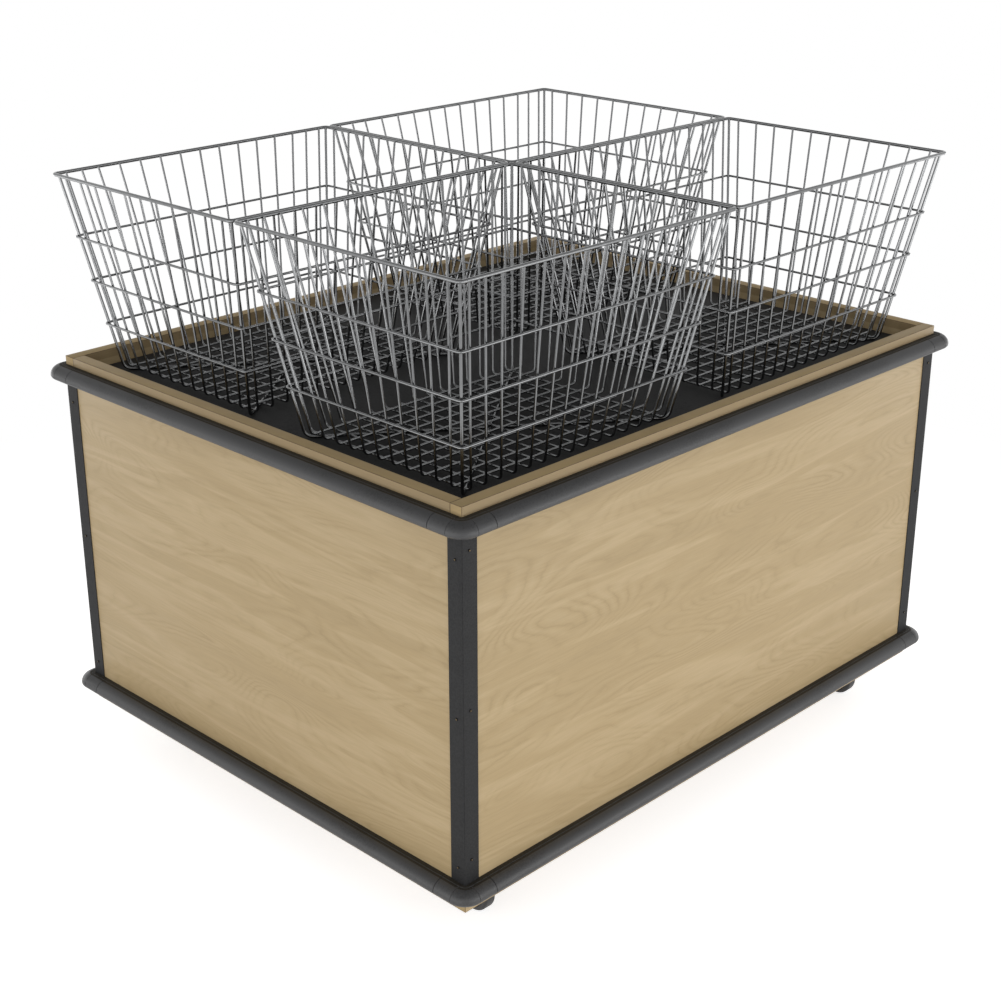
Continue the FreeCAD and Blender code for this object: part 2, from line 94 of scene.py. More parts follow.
class DumpBinSizes(bpy.types.PropertyGroup):
    """Sizes that dress the frame. The frame itself gives the rest."""

    board_arris: length("Board arris", "Width of the darkened edge line of every board", mm(0.7))
    ledge: length("Bumper ledge", "Flat strip of a bumper next to the panel", mm(9))
    shoulder: length("Bumper shoulder", "Drop from the ledge to the nose's furthest point", mm(17))
    crease: length("Bumper crease", "Width and depth of the groove beside the ledge", mm(0.9))
    seam: length("Bumper seam", "Half the width of the groove where bumpers join", mm(0.6))
    seam_depth: length("Bumper seam depth", "Depth of that groove", mm(1.6))
    turn_inset: length("Corner turn inset", "How far inside the corner a bumper turns", mm(3.5))
    angle_sheet: length("Angle sheet", "Thickness of the corner angles", mm(1.5))
    angle_bend: length("Angle bend", "Outer radius of the corner angles' bend", mm(1.4))
    screw_hole: length("Screw hole", "Diameter of the corner angles' holes", mm(3.6))
    screw_shank: length("Screw shank", "Diameter of the corner angles' screws", mm(3))
    basket_length: length("Basket length", "Rim length, outside the wire", mm(596))
    basket_width: length("Basket width", "Rim width, outside the wire", mm(482))
    basket_height: length("Basket height", "From the deck to the top of the rim", mm(343))
    rim_wire: length("Rim wire", "Diameter of the rim wire", mm(6))
    corner_wire: length("Corner wire", "Diameter of the corner and runner wires", mm(5))
    grid_wire: length("Grid wire", "Diameter of the grid and ring wires", mm(4))
    lowest_ring: length("Lowest ring", "Height of the lowest ring above the deck", mm(84.5))
    ring_pitch: length("Ring pitch", "Distance between rings", mm(75.5))
    hoop_radius: length("Hoop corner radius", "Corner radius of the rim and rings", mm(8))
    wire_bend: length("Wire bend", "Bend radius of the grid wires at the floor", mm(8))
    corner_bend: length("Corner wire bend", "Bend radius of the corner wires", mm(14))
    draft: bpy.props.FloatProperty(
        name="Draft", description="Lean of the basket walls", default=math.radians(9.8), subtype="ANGLE"
    )
    floor_pitch: length("Floor pitch", "Distance between the grid wires at a basket's floor", mm(30.8))
    rim_pitch: length("Rim pitch", "Distance between the grid wires at a basket's rim", mm(42))
    cross_wires: bpy.props.IntProperty(
        name="Cross wires", description="U wires across each basket", default=15, min=2
    )
    long_wires: bpy.props.IntProperty(
        name="Long wires", description="U wires along each basket", default=11, min=2
    )


class DumpBinColours(bpy.types.PropertyGroup):
    """Colours of the finishes."""

    maple_light: colour("Maple light", "Early wood of the printed figure", "BEA882")
    maple_mid: colour("Maple mid", "Ground of the printed figure", "B69F77")
    maple_dark: colour("Maple dark", "Late wood lines of the printed figure", "A8926B")
    # Painted shade: the darker strip of the print above the top bumper, where the bumper shades the
    # panel.
    maple_painted_shade: colour("Maple painted shade", "Strip of the print above the top bumper", "9C8661")
    edge_band: colour("Edge band", "Edge banding on the boards' rims", "B59D72")
    edge_line: colour("Edge line", "Glue line along the boards' edges", "5E4E36")
    raw_board: colour("Raw board", "Bare particle board inside", "A98C62")
    black_laminate: colour("Black laminate", "Deck surface", "2B2B2B")
    bumper: colour("Bumper", "Moulded vinyl of the rails", "383839")
    # The flange is matt; its darker, browner tone is painted shade and a painted reflection of the wood
    # panel above it.
    flange: colour("Bumper flange", "Matt flange of the rails, next to the panels", "35312A")
    powder: colour("Powder coat", "Corner angles", "1C1C1D")
    # The screws' heads are painted near-black round their rims as shade, and show their brass only at
    # the crown.
    screw: colour("Screw", "Brass that shows on the screws' worn crowns", "75644A")
    screw_coat: colour("Screw coat", "Black coat of the corner angles' screws", "0C0B0A")
    wire: colour("Wire", "Bright-plated basket wire", "868788")
    zinc: colour("Zinc", "Zinc-plated caster steel", "9FA2A6")
    wheel: colour("Wheel", "Moulded caster wheels", "222223")
    floor: colour("Floor", "Studio floor", "F4F4F4")


# ---- Shared helpers ------------------------------------------------------------------------


def add(tree, kind, sockets=(), stops=(), **settings):
    """Adds a shader node with its settings, its sockets as values or links, and a ramp's stops."""
    node = tree.nodes.new(kind)
    for name, value in settings.items():
        setattr(node, name, value)
    for name, value in dict(sockets).items():
        if isinstance(value, bpy.types.NodeSocket):
            tree.links.new(value, node.inputs[name])
        else:
            node.inputs[name].default_value = value
    if stops:
        elements = node.color_ramp.elements
        while len(elements) < len(stops):
            elements.new(0.5)
        for element, (position, tone) in zip(elements, stops):
            element.position = position
            element.color = tone
    return node


def new_material(name):
    """An empty material, its tree and its surface shader, already linked to the output."""
    material = bpy.data.materials.new(name)
    material.use_nodes = True
    tree = material.node_tree
    tree.nodes.clear()
    shader = add(tree, "ShaderNodeBsdfPrincipled")
    add(tree, "ShaderNodeOutputMaterial", {"Surface": shader.outputs[0]})
    return material, tree, shader


def shade(tone, factor):
    """A colour made darker or lighter."""
    return (*(min(c * factor, 1) for c in tone[:3]), 1.0)


def pattern(tree, size, detail=2.0, roughness=0.5, distortion=0.0, turn=0.0, shift=(0, 0, 0)):
    """A fractal pattern in the object's own space, from 0 to 1.

    size is the distance between its features in millimetres: one number, or one for each axis,
    after a turn about the vertical and a shift in metres.
    """
    sizes = size if isinstance(size, tuple) else (size, size, size)
    place = add(tree, "ShaderNodeTexCoord").outputs["Object"]
    laid = {"Vector": place, "Rotation": (0, 0, turn), "Location": shift}
    laid = add(tree, "ShaderNodeMapping", laid).outputs[0]
    scaled = {"Vector": laid, "Scale": [1 / mm(each) for each in sizes]}
    scaled = add(tree, "ShaderNodeMapping", scaled).outputs[0]
    sockets = {"Vector": scaled, "Scale": 1.0, "Detail": detail}
    sockets |= {"Roughness": roughness, "Distortion": distortion}
    return add(tree, "ShaderNodeTexNoise", sockets).outputs["Fac"]


def smooth(mesh):
    """Smooth faces, with a crease where two of them meet at more than 35 degrees."""
    mesh.shade_smooth()
    mesh.set_sharp_from_angle(angle=math.radians(35))


def piece(name, data, material, body, replaced):
    """Finishes one piece: its material, the body it rides on and the nodes that it stands for."""
    made = bpy.data.objects.new(name, data)
    bpy.context.scene.collection.objects.link(made)
    for each in material if isinstance(material, (list, tuple)) else [material]:
        data.materials.append(each)
    if made.type == "MESH":
        smooth(data)
    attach(made, body)
    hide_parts(*replaced)
    return made


def to_mesh(name, bm):
    """A mesh from a bmesh, with its normals facing out."""
    bmesh.ops.recalc_face_normals(bm, faces=bm.faces)
    mesh = bpy.data.meshes.new(name)
    bm.to_mesh(mesh)
    bm.free()
    return mesh


def skin(bm, rings, closed=False):
    """Faces between rings of points, closed on itself or capped at both ends."""
    rows = [[bm.verts.new(p) for p in ring] for ring in rings]
    spans = list(zip(rows, rows[1:]))
    if closed:
        spans.append((rows[-1], rows[0]))
    else:
        bm.faces.new(rows[0][::-1])
        bm.faces.new(rows[-1])
    count = len(rows[0])
    for start, end in spans:
        for k in range(count):
            j = (k + 1) % count
            bm.faces.new((start[k], start[j], end[j], end[k]))


def cuboid(bm, size, centre):
    """Adds a box, and returns its vertices."""
    made = bmesh.ops.create_cube(bm, size=1)["verts"]
    bmesh.ops.scale(bm, vec=size, verts=made)
    bmesh.ops.translate(bm, vec=centre, verts=made)
    return made


def lathe(bm, start, way, outline, steps=40):
    """A turned shape: outline is a list of (along, radius), from start along way."""
    turn = UP.rotation_difference(way)
    rings = []
    for along, radius in outline:
        centre = start + way * along
        angles = [2 * math.pi * k / steps for k in range(steps)]
        ring = [Vector((radius * math.cos(a), radius * math.sin(a), 0)) for a in angles]
        rings.append([centre + turn @ p for p in ring])
    skin(bm, rings)


def islands(node):
    """The (lowest, highest) corners of each separate solid in a CAD node."""
    bm = bmesh.new()
    bm.from_mesh(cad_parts[node].data)
    bmesh.ops.remove_doubles(bm, verts=bm.verts, dist=mm(0.001))
    left = set(bm.verts)
    boxes = []
    while left:
        reached = [left.pop()]
        for vert in reached:
            for edge in vert.link_edges:
                other = edge.other_vert(vert)
                if other in left:
                    left.remove(other)
                    reached.append(other)
        low = Vector([min(v.co[i] for v in reached) for i in range(3)])
        high = Vector([max(v.co[i] for v in reached) for i in range(3)])
        boxes.append((low, high))
    bm.free()
    return sorted(boxes, key=lambda b: tuple(round(c, 4) for c in b[0]))


def middle(box):
    """The centre of a box, given as its lowest and highest corners."""
    return (box[0] + box[1]) / 2


# ---- Finishes ------------------------------------------------------------------------------


def surface(name, tone, patterns, tint, shades, rough=None, bump=None, sockets=()):
    """A whole finish from one or two fractal patterns.

    tone names a colour. patterns hold, by name, each one's size in millimetres, detail and
    roughness. The ones in tint pick the colour, by shades: pairs of a position and a share of the
    tone. rough is a pattern and the shader's roughness at its two ends, bump is a pattern, its
    depth in millimetres and its strength, and sockets are the shader's own values.
    """
    tone = getattr(bpy.context.scene.dump_bin_colours, tone)
    material, tree, shader = new_material(name)
    made = {key: pattern(tree, *values) for key, values in patterns.items()}
    level = made[tint[0]]
    for other in tint[1:]:
        # Where the two add up to more than 1, the tone gets no lighter.
        both = add(tree, "ShaderNodeMath", {0: level, 1: made[other]}, operation="ADD").outputs[0]
        level = add(tree, "ShaderNodeMapRange", {"Value": both, "To Max": 0.5}).outputs[0]
    stops = [(position, shade(tone, share)) for position, share in shades]
    colours = add(tree, "ShaderNodeValToRGB", {"Fac": level}, stops)
    tree.links.new(colours.outputs["Color"], shader.inputs["Base Color"])
    if rough:
        ends = {"Value": made[rough[0]], "To Min": rough[1], "To Max": rough[2]}
        ranged = add(tree, "ShaderNodeMapRange", ends)
        tree.links.new(ranged.outputs[0], shader.inputs["Roughness"])
    if bump:
        relief = {"Height": made[bump[0]], "Distance": mm(bump[1]), "Strength": bump[2]}
        raised = add(tree, "ShaderNodeBump", relief)
        tree.links.new(raised.outputs[0], shader.inputs["Normal"])
    for socket, value in dict(sockets).items():
        shader.inputs[socket].default_value = value
    return material


def finish(name, maker, *values):
    """A material that is made the first time that it is asked for."""
    return bpy.data.materials.get(name) or maker(name, *values)


def printed_maple(name, turn, shift):
    """Maple-print melamine on board: a soft sheen over wavy, low-contrast cathedral figure."""
    tones = bpy.context.scene.dump_bin_colours
    material, tree, shader = new_material(name)
    lie = {"turn": turn, "shift": shift}
    # The figure's ovals are 300 to 600 mm long and about 80 mm high, with growth lines 5 to
    # 10 mm apart that feather by 2 to 3 mm and fade out here and there. The last digits of the
    # sizes keep the figure in its place.
    height = pattern(tree, (500, 500, 117.647), 1, 0.35, 0.6, **lie)
    feather = pattern(tree, (26.3158, 26.3158, 7.69231), 3, 0.65, **lie)
    wander = pattern(tree, (142.857, 142.857, 38.4615), **lie)
    wander_share = 2.0
    unevenness = 0.022
    lines_per_height = 58.0
    rings = wander
    for operation, value in (
        ("MULTIPLY", wander_share),
        ("ADD", feather),
        ("MULTIPLY", unevenness),
        ("ADD", height),
        ("MULTIPLY", lines_per_height),
        ("PINGPONG", 1.0),
    ):
        rings = add(tree, "ShaderNodeMath", {0: rings, 1: value}, operation=operation).outputs[0]
    growth = [(0, tones.maple_dark), (0.3, tones.maple_mid), (1, tones.maple_light)]
    lines = add(tree, "ShaderNodeValToRGB", {"Fac": rings}, growth).outputs["Color"]
    # Lighter and darker drifts run along the board: 400 to 800 mm long and 30 to 60 mm high,
    # with one edge crisper than the other.
    drifts = pattern(tree, (769.231, 769.231, 58.8235), 3, 0.5, 0.6, **lie)
    stops = [
        (0.28, shade(tones.maple_mid, 0.94)),
        (0.46, tones.maple_mid),
        (0.5, shade(tones.maple_light, 1.04)),
        (0.6, tones.maple_mid),
        (0.75, shade(tones.maple_mid, 0.96)),
    ]
    ground = add(tree, "ShaderNodeValToRGB", {"Fac": drifts}, stops).outputs["Color"]
    fading = pattern(tree, (200, 200, 38.4615), 4, 0.6, **lie)
    faded = {"Value": fading, "From Min": 0.4, "From Max": 0.66, "To Min": 0.06, "To Max": 0.62}
    faded = add(tree, "ShaderNodeMapRange", faded).outputs[0]
    # Fibres: 60 mm long and about 1.5 mm apart, as coarse as they need to be to show.
    fibres = pattern(tree, (62.5, 62.5, 1.66667), 3, 0.6, **lie)
    stops = [(0.3, (0.92, 0.915, 0.9, 1)), (0.6, (1, 1, 1, 1))]
    streaks = add(tree, "ShaderNodeValToRGB", {"Fac": fibres}, stops).outputs["Color"]
    # Painted shade: the strip above the top bumper is darkened, where the bumper's ledge shades it.
    place = add(tree, "ShaderNodeTexCoord").outputs["Object"]
    level = add(tree, "ShaderNodeSeparateXYZ", {0: place}).outputs["Z"]
    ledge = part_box("bumper_top_front")[1].z
    ledge_shade = {"Value": level, "From Min": ledge - mm(1), "From Max": ledge + mm(1), "To Max": 0.9}
    ledge_shade = add(tree, "ShaderNodeMapRange", ledge_shade).outputs[0]
    tone = ground
    for factor, over, blend in (
        (faded, lines, "MIX"),
        (ledge_shade, tones.maple_painted_shade, "MIX"),
        (1.0, streaks, "MULTIPLY"),
    ):
        layers = {"Factor": factor, "A": tone, "B": over}
        mixed = add(tree, "ShaderNodeMix", layers, data_type="RGBA", blend_type=blend)
        tone = mixed.outputs["Result"]
    tree.links.new(tone, shader.inputs["Base Color"])
    sheen = add(tree, "ShaderNodeMapRange", {"Value": fibres, "To Min": 0.46, "To Max": 0.6})
    tree.links.new(sheen.outputs[0], shader.inputs["Roughness"])
    shader.inputs["IOR"].default_value = 1.45
    relief = {"Height": fibres, "Distance": mm(0.05), "Strength": 0.25}
    tree.links.new(add(tree, "ShaderNodeBump", relief).outputs[0], shader.inputs["Normal"])
    return material


def glue_line(name):
    """The dark line of glue and worn print along an arris, worn in patches of some 20 mm."""
    return surface(
        name,
        "edge_line",
        {"wear": (22.2222, 3, 0.6)},
        tint=["wear"],
        shades=[(0.35, 1), (0.75, 1.7)],
        sockets={"Roughness": 0.7},
    )


def edge_banding(name):
    """PVC edge banding in the same print: straight fine grain, a little darker than the face."""
    # The print's grain is under 1 mm wide, and 2.5 mm here so that it shows.
    return surface(
        name,
        "edge_band",
        {"streaks": ((111.111, 111.111, 2.5), 3, 0.6)},
        tint=["streaks"],
        shades=[(0.3, 0.86), (0.6, 1), (0.8, 1.1)],
        rough=("streaks", 0.55, 0.7),
        sockets={"IOR": 1.45, "Specular IOR Level": 0.3},
    )


def particle_board(name):
    """Bare pressed particle board: flecks of chip 2 to 4 mm long, dull and thirsty."""
    return surface(
        name,
        "raw_board",
        {"chips": (3.125, 2, 0.7)},
        tint=["chips"],
        shades=[(0.3, 0.6), (0.5, 1), (0.7, 1.35)],
        bump=("chips", 0.3, 0.5),
        sockets={"Roughness": 0.85},
    )


def black_laminate(name):
    """Black melamine with a fine pearl emboss, scuffed to a slightly uneven dull sheen."""
    # The emboss is about 1 mm across in the real sheet, and 3 mm here so that it shows.
    return surface(
        name,
        "black_laminate",
        {
            "pearl": (3.0303, 2, 0.6),
            "scuffs": ((111.111, 71.4286, 111.111), 5, 0.65),
        },
        tint=["pearl", "scuffs"],
        shades=[(0.4, 0.7), (0.6, 1.7)],
        rough=("scuffs", 0.6, 0.8),
        bump=("pearl", 0.06, 0.3),
        sockets={"IOR": 1.45, "Specular IOR Level": 0.2},
    )


def moulded_vinyl(name, tone, glossiest, level):
    """Extruded and moulded PVC: near-black and satin, with a fine speckle of matting agent."""
    # The speckle is under 1 mm in the real vinyl, and 3 mm here so that it shows.
    return surface(
        name,
        tone,
        {
            "speckle": (3.0303, 3, 0.7),
            "rubs": ((142.857, 142.857, 25), 4, 0.6),
        },
        tint=["speckle", "rubs"],
        shades=[(0.4, 0.6), (0.5, 1), (0.6, 1.5)],
        rough=("speckle", glossiest, glossiest + 0.16),
        bump=("speckle", 0.05, 0.3),
        sockets={"IOR": 1.55, "Specular IOR Level": level},
    )


def rail_finishes():
    """The satin nose of the bumpers, and the duller flange where it meets the panels: its darker,
    browner tone is painted shade and a painted reflection of the wood.
    """
    return [
        finish("Moulded black vinyl", moulded_vinyl, "bumper", 0.4, 0.5),
        finish("Matt vinyl flange", moulded_vinyl, "flange", 0.6, 0.2),
    ]


def powder_coat(name):
    """Powder-coated sheet steel: charcoal, with a fine orange peel that breaks up the sheen."""
    # The peel's grains are about 1 mm across in the real coat, and 3 mm here so that they show.
    return surface(
        name,
        "powder",
        {
            "peel": (3.0303, 2, 0.6),
            "wear": ((83.3333, 83.3333, 33.3333), 4, 0.6),
        },
        tint=["peel"],
        shades=[(0.4, 0.7), (0.6, 1.3)],
        rough=("wear", 0.58, 0.7),
        bump=("peel", 0.05, 0.35),
        sockets={"IOR": 1.45, "Specular IOR Level": 0.35},
    )


def plated_steel(name, tone, roughness, mottle):
    """Plated steel: a metal surface whose plating is a little uneven from place to place."""
    # Patches of some 17 mm. The polish's own grain is under 0.1 mm, and 1.1 mm here.
    return surface(
        name,
        tone,
        {
            "uneven": (16.6667, 3, 0.6),
            "fine": (1.11111, 1),
        },
        tint=["uneven"],
        shades=[(0.3, 1 - mottle), (0.7, 1)],
        rough=("uneven", roughness - 0.05, roughness + 0.06),
        bump=("fine", 0.02, 0.08),
        sockets={"Metallic": 1.0},
    )


def bright_wire(name):
    """Bright nickel-chrome plating on drawn wire: mirror-like, softened by its small radius."""
    return plated_steel(name, "wire", 0.19, 0.15)


def zinc_plate(name):
    """Clear zinc on pressed steel: grey, faintly bluish and dull next to the bright wire."""
    return plated_steel(name, "zinc", 0.42, 0.2)


def crown_brass(name):
    """Brass of the screws' crowns, inside the painted shade round their rims: warm and a little dull.
    """
    return plated_steel(name, "screw", 0.38, 0.3)


def screw_shade_ring(name):
    """Painted shade round the rim of a screw's head: near-black and half dull, worn lighter in places.
    """
    # A driver's slips leave rubs of 1 to 2 mm.
    return surface(
        name,
        "screw_coat",
        {"rubs": (1.42857, 2)},
        tint=["rubs"],
        shades=[(0.4, 1), (0.75, 1.8)],
        rough=("rubs", 0.5, 0.65),
        sockets={"Specular IOR Level": 0.2},
    )


def wheel_plastic(name):
    """Moulded polypropylene wheel: black, dusted grey where it rolls."""
    # Floor dust sticks in patches of some 10 mm.
    return surface(
        name,
        "wheel",
        {"dust": (11.1111, 4, 0.65)},
        tint=["dust"],
        shades=[(0.4, 1), (0.8, 2.2)],
        rough=("dust", 0.4, 0.6),
        bump=("dust", 0.1, 0.3),
    )


# ---- Boards --------------------------------------------------------------------------------


def board(name, node, materials, body, grain=None):
    """A board with worn arrises. grain is the axis across its face: the other sides are edges.

    With a grain, materials are the face's, the edges' and the arrises'.
    """
    low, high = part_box(node)
    bm = bmesh.new()
    cuboid(bm, high - low, (low + high) / 2)
    arris = bpy.context.scene.dump_bin_sizes.board_arris
    bmesh.ops.bevel(
        bm, geom=bm.edges[:], offset=arris, segments=2, profile=0.5, affect="EDGES"
    )
    if grain is not None:
        bm.normal_update()
        for face in bm.faces:
            if max(abs(c) for c in face.normal) < 0.999:
                face.material_index = 2
            else:
                face.material_index = 0 if abs(face.normal[grain]) > 0.5 else 1
    return piece(name, to_mesh(name, bm), materials, body, [node])


class DUMPBIN_OT_panels(bpy.types.Operator):
    """Makes the four laminated panels, with banded edges"""

    bl_idname = "dumpbin.panels"
    bl_label = "Laminated panels"

    def execute(self, context):
        band = finish("Maple edge banding", edge_banding)
        line = finish("Worn glue line", glue_line)
        for side, turn, shift in (
            ("front", 0.0, (0.3, 0, 0.1)),
            ("back", 0.0, (2.1, 0, 0.7)),
            ("left", math.pi / 2, (1.2, 3.0, 0.4)),
            ("right", math.pi / 2, (3.4, 5.0, 1.1)),
        ):
            face = printed_maple(f"Maple-print melamine, {side}", turn, shift)
            across = 1 if side in ("front", "back") else 0
            board(
                f"{side}_laminated_panel",
                f"{side}_panel",
                [face, band, line],
                "cabinet",
                across,
            )
        return {"FINISHED"}


class DUMPBIN_OT_boards(bpy.types.Operator):
    """Makes the deck, the base board and the timbers that carry the deck"""

    bl_idname = "dumpbin.boards"
    bl_label = "Deck and base"

    def execute(self, context):
        deck = finish("Black melamine", black_laminate)
        raw = finish("Particle board", particle_board)
        board("black_deck", "deck_board", [deck], "cabinet")
        board("base", "base_board", [raw], "cabinet")
        board("deck_beam", "deck_bearer", [raw], "cabinet")
        bm = bmesh.new()
        for low, high in islands("deck_cleats"):
            cuboid(bm, high - low, (low + high) / 2)
        arris = mm(1)
        bmesh.ops.bevel(bm, geom=bm.edges[:], offset=arris, segments=1, affect="EDGES")
        mesh = to_mesh("cleats", bm)
        piece("cleats", mesh, raw, "cabinet", ["deck_cleats"])
        return {"FINISHED"}


# ---- Bumpers -------------------------------------------------------------------------------


def bumper_ring(at, outward, reach, height, back=0.0, shrink=0.0):
    """One section of a bumper, from the panel out: ledge, crease, rounded nose and underside."""
    sizes = bpy.context.scene.dump_bin_sizes
    ledge = sizes.ledge
    nose = reach - ledge
    belly = height - sizes.shoulder
    crease = sizes.crease
    lip = crease * 0.2
    outline = [
        (back, -shrink),
        (ledge - crease, -shrink),
        (ledge - crease / 2, -shrink - crease),
        (ledge, -shrink - lip),
    ]
    steps = 28
    for k in range(1, steps + 1):
        turn = math.pi * k / steps
        rise = sizes.shoulder if turn < math.pi / 2 else belly
        out = ledge + (nose - shrink) * math.sin(turn)
        outline.append((out, (rise - shrink) * math.cos(turn) - sizes.shoulder))
    outline.append((back, -height + shrink))
    return [at + outward * out + UP * up for out, up in outline]


def mark_shaded_flange(mesh, level):
    """Gives the faces of the flat ledge at a level their own matt finish, whose darker, browner tone is
    painted shade and a painted reflection of the wood.
    """
    depth = bpy.context.scene.dump_bin_sizes.crease + mm(0.01)
    for face in mesh.polygons:
        if face.normal.z > 0.5 and abs(face.center.z - level) < depth / 2:
            face.material_index = 1


def stub_ends(at, way, run, outward, reach, height):
    """Rings of a straight run whose ends are drawn in by half a seam."""
    sizes = bpy.context.scene.dump_bin_sizes
    seam = sizes.seam
    depth = sizes.seam_depth
    rings = []
    for along, shrink in ((0, depth), (seam, 0), (run - seam, 0), (run, depth)):
        rings.append(bumper_ring(at + way * along, outward, reach, height, 0.0, shrink))
    return rings


class DUMPBIN_OT_bumper_rails(bpy.types.Operator):
    """Makes the eight straight bumper rails"""

    bl_idname = "dumpbin.bumper_rails"
    bl_label = "Bumper rails"

    def execute(self, context):
        vinyl = rail_finishes()
        for level in ("top", "bottom"):
            for side, outward in OUTWARD.items():
                node = f"bumper_{level}_{side}"
                low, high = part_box(node)
                across = 1 if side in ("front", "back") else 0
                along = 1 - across
                reach = (high - low)[across]
                start = Vector((low.x, low.y, high.z))
                if outward[across] < 0:
                    start[across] = high[across]
                way = Vector((0, 0, 0))
                way[along] = 1
                run = (high - low)[along]
                bm = bmesh.new()
                skin(bm, stub_ends(start, way, run, outward, reach, (high - low).z))
                name = f"{side}_{level}_bumper"
                made = piece(name, to_mesh(name, bm), vinyl, "cabinet", [node])
                mark_shaded_flange(made.data, high.z)
        return {"FINISHED"}


def corner_fitting(bm, box, way_x, way_y):
    """A moulded corner: stub, quarter turn and stub, with fine grooves where the turn begins."""
    sizes = bpy.context.scene.dump_bin_sizes
    low, high = box
    height = high.z - low.z
    end = abs(high.x if way_x > 0 else low.x)
    panel = abs((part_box("front_panel")[1]).x)
    reach = end - panel
    stub = (high.x - low.x) - reach
    depth = abs(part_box("front_panel")[0].y)
    corner = Vector((way_x * panel, way_y * depth, high.z))
    out_x = Vector((way_x, 0, 0))
    out_y = Vector((0, way_y, 0))
    inset = sizes.turn_inset
    seam = sizes.seam
    deep = sizes.seam_depth
    groove = ((inset + 2 * seam, 0), (inset + seam, deep / 2), (inset, 0))
    stub_run = ((stub, deep), (stub - seam, 0), *groove)
    rings = []
    for along, shrink in stub_run:
        rings.append(bumper_ring(corner - out_y * along, out_x, reach, height, 0.0, shrink))
    centre = corner - (out_x + out_y) * inset
    steps = 14
    for k in range(1, steps):
        turn = math.pi / 2 * k / steps
        outward = out_x * math.cos(turn) + out_y * math.sin(turn)
        to_panel = inset / max(math.cos(turn), math.sin(turn))
        at = centre + outward * inset
        rings.append(bumper_ring(at, outward, reach, height, to_panel - inset, 0.0))
    for along, shrink in stub_run[::-1]:
        rings.append(bumper_ring(corner - out_x * along, out_y, reach, height, 0.0, shrink))
    skin(bm, rings)


class DUMPBIN_OT_bumper_corners(bpy.types.Operator):
    """Makes the moulded corner fittings of both bumper levels"""

    bl_idname = "dumpbin.bumper_corners"
    bl_label = "Bumper corners"

    def execute(self, context):
        vinyl = rail_finishes()
        for level in ("top", "bottom"):
            node = f"bumper_{level}_corners"
            bm = bmesh.new()
            for box in islands(node):
                at = middle(box)
                corner_fitting(bm, box, math.copysign(1, at.x), math.copysign(1, at.y))
            name = f"{level}_corner_fittings"
            made = piece(name, to_mesh(name, bm), vinyl, "cabinet", [node])
            mark_shaded_flange(made.data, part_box(node)[1].z)
        return {"FINISHED"}


# ---- Corner angles and screws --------------------------------------------------------------


def angle_screw_tops():
    """The top of each screw's domed head, and the way in."""
    tops = []
    for low, high in islands("angle_screws"):
        size = high - low
        along = max(range(3), key=lambda i: size[i])
        at = (low + high) / 2
        inward = Vector((0, 0, 0))
        inward[along] = -math.copysign(1, at[along])
        at[along] = low[along] if inward[along] > 0 else high[along]
        tops.append((at, inward))
    return tops


def cut_with(mesh_object, bm):
    """Cuts a shape out of an object's mesh."""
    tool = bpy.data.objects.new("cutter", to_mesh("cutter", bm))
    bpy.context.scene.collection.objects.link(tool)
    modifier = mesh_object.modifiers.new("cut", "BOOLEAN")
    modifier.operation = "DIFFERENCE"
    modifier.solver = "EXACT"
    modifier.object = tool
    bpy.context.view_layer.update()
    evaluated = mesh_object.evaluated_get(bpy.context.evaluated_depsgraph_get())
    cut = bpy.data.meshes.new_from_object(evaluated)
    mesh_object.modifiers.remove(modifier)
    mesh_object.data = cut
    bpy.data.objects.remove(tool)
    smooth(cut)


class DUMPBIN_OT_corner_angles(bpy.types.Operator):
    """Makes the four steel corner angles, with their screw holes"""

    bl_idname = "dumpbin.corner_angles"
    bl_label = "Corner angles"

    def execute(self, context):
        sizes = context.scene.dump_bin_sizes
        coat = finish("Charcoal powder coat", powder_coat)
        sheet = sizes.angle_sheet
        bend = sizes.angle_bend
        soft = mm(0.3)
        hole = sizes.screw_hole / 2
        hole_depth = mm(4)
        turns = [math.pi / 2 * k / 8 for k in range(9)]
        tops = angle_screw_tops()
        for corner, (way_x, way_y) in CORNERS.items():
            node = f"corner_angle_{corner}"
            low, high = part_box(node)
            leg = high.x - low.x
            outer_x = way_x * max(abs(low.x), abs(high.x))
            outer_y = way_y * max(abs(low.y), abs(high.y))
            outer = Vector((outer_x, outer_y, 0))
            outline = [(leg - soft, 0), (leg, soft), (leg, sheet), (sheet, sheet), (sheet, leg)]
            outline += [(soft, leg), (0, leg - soft)]
            outline += [(bend * (1 - math.cos(t)), bend * (1 - math.sin(t))) for t in turns]
            rings = []
            for z in (low.z, high.z):
                rings.append([outer + Vector((-way_x * x, -way_y * y, z)) for x, y in outline])
            bm = bmesh.new()
            skin(bm, rings)
            name = f"{corner}_angle"
            made = piece(name, to_mesh(name, bm), coat, "cabinet", [node])
            mine = [t for t in tops if t[0].x * way_x > 0 and t[0].y * way_y > 0]
            holes = bmesh.new()
            for at, inward in mine:
                lathe(holes, at, inward, [(0, hole), (hole_depth, hole)], steps=24)
            cut_with(made, holes)
        return {"FINISHED"}


def cross_recess(bm, at, inward, span, depth):
    """A four-winged driver recess, as a cutter that narrows towards its floor."""
    turn = UP.rotation_difference(inward)
    wing = span * 0.16
    plan = [(span, wing), (wing, wing), (wing, span), (-wing, span), (-wing, wing), (-span, wing)]
    plan += [(-x, -y) for x, y in plan]
    above = depth * 0.4
    mouth = 1.15
    floor = 0.55
    rings = []
    for along, share in ((-above, mouth), (depth, floor)):
        ring = [Vector((x * share, y * share, along)) for x, y in plan]
        rings.append([at + turn @ p for p in ring])
    skin(bm, rings)


